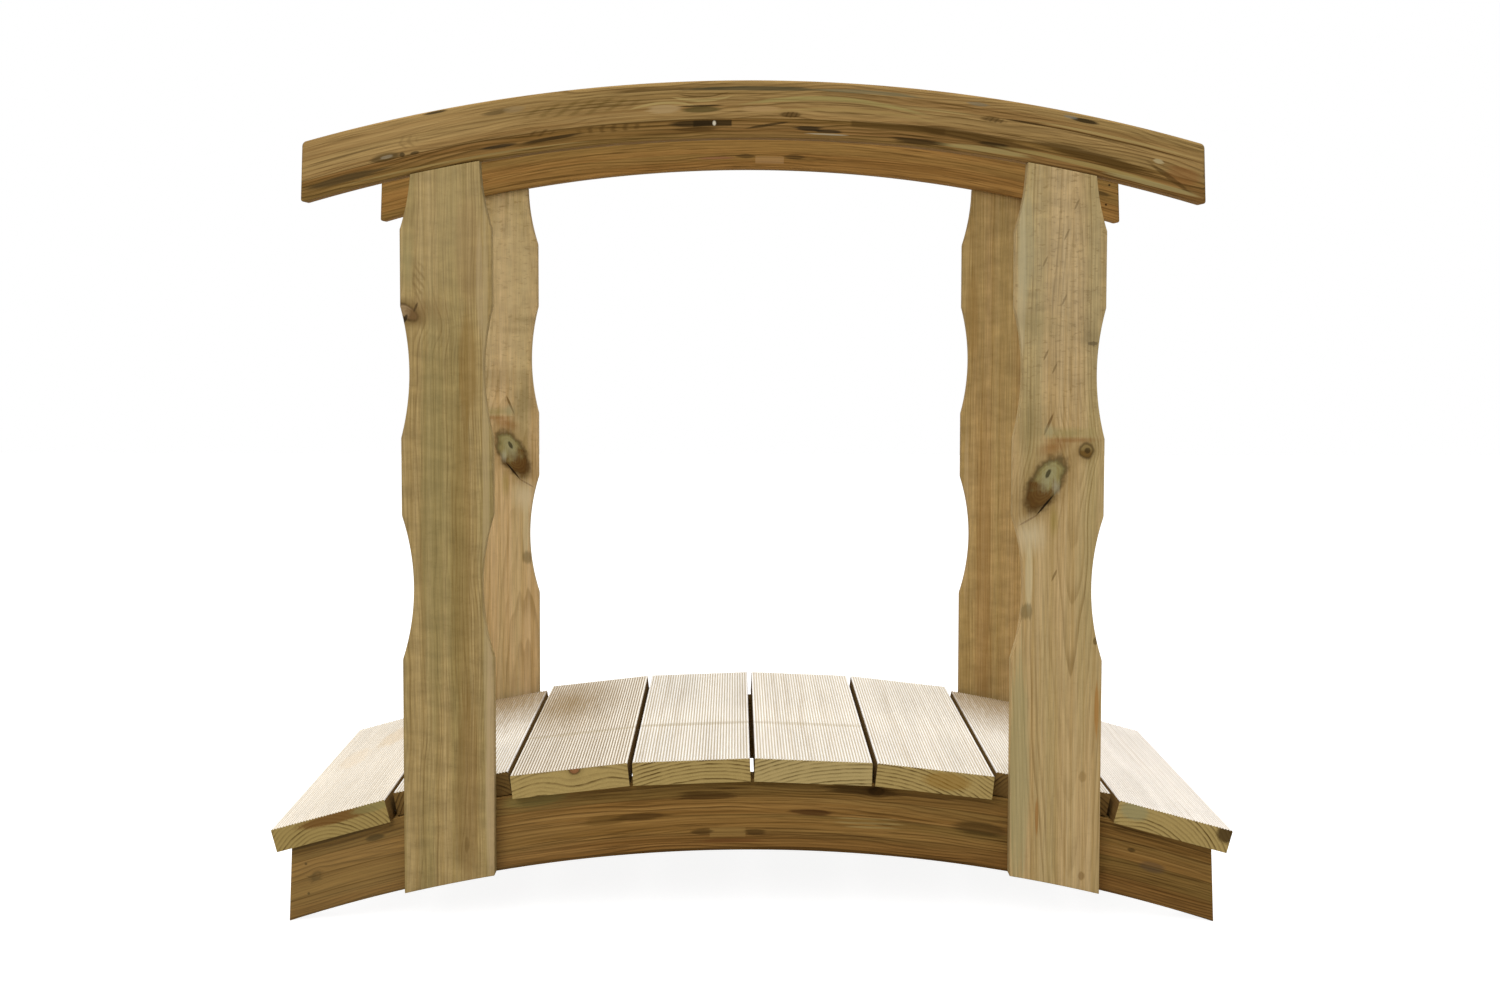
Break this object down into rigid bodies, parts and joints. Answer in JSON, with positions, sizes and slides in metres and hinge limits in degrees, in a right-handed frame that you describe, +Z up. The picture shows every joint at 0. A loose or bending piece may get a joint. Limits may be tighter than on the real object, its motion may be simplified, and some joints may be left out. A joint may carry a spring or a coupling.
{
  "type": "arched garden footbridge with handrails",
  "caption": "Small arched pine footbridge: ribbed deck boards on glued arch stringers, scalloped posts and arched handrails on both sides.",
  "frame": {"origin": "on the ground under the middle of the deck, the bottom centre of the bounding box", "axes": "+X along the bridge, +Y across it from the near side to the far side of the picture, +Z up"},
  "size_m": [1.1004, 0.695, 0.9613],
  "materials": {
    "deck_pine": "ribbed, pale, pressure-treated pine",
    "post_pine": "planed olive-tan pressure-treated pine",
    "beam_pine": "planed brown pressure-treated glued pine"
  },
  "bodies": {
    "root": {"deck_board_1": "deck_pine", "deck_board_2": "deck_pine", "deck_board_3": "deck_pine", "deck_board_4": "deck_pine", "deck_board_5": "deck_pine", "deck_board_6": "deck_pine", "deck_board_7": "deck_pine", "deck_board_8": "deck_pine", "post_front_left": "post_pine", "post_front_right": "post_pine", "post_back_left": "post_pine", "post_back_right": "post_pine", "stringer_front_strip_1": "beam_pine", "stringer_front_strip_2": "beam_pine", "stringer_front_strip_3": "beam_pine", "stringer_front_strip_4": "beam_pine", "stringer_back_strip_1": "beam_pine", "stringer_back_strip_2": "beam_pine", "stringer_back_strip_3": "beam_pine", "stringer_back_strip_4": "beam_pine", "handrail_front_strip_1": "beam_pine", "handrail_front_strip_2": "beam_pine", "handrail_front_strip_3": "beam_pine", "handrail_back_strip_1": "beam_pine", "handrail_back_strip_2": "beam_pine", "handrail_back_strip_3": "beam_pine"}
  },
  "joints": []
}
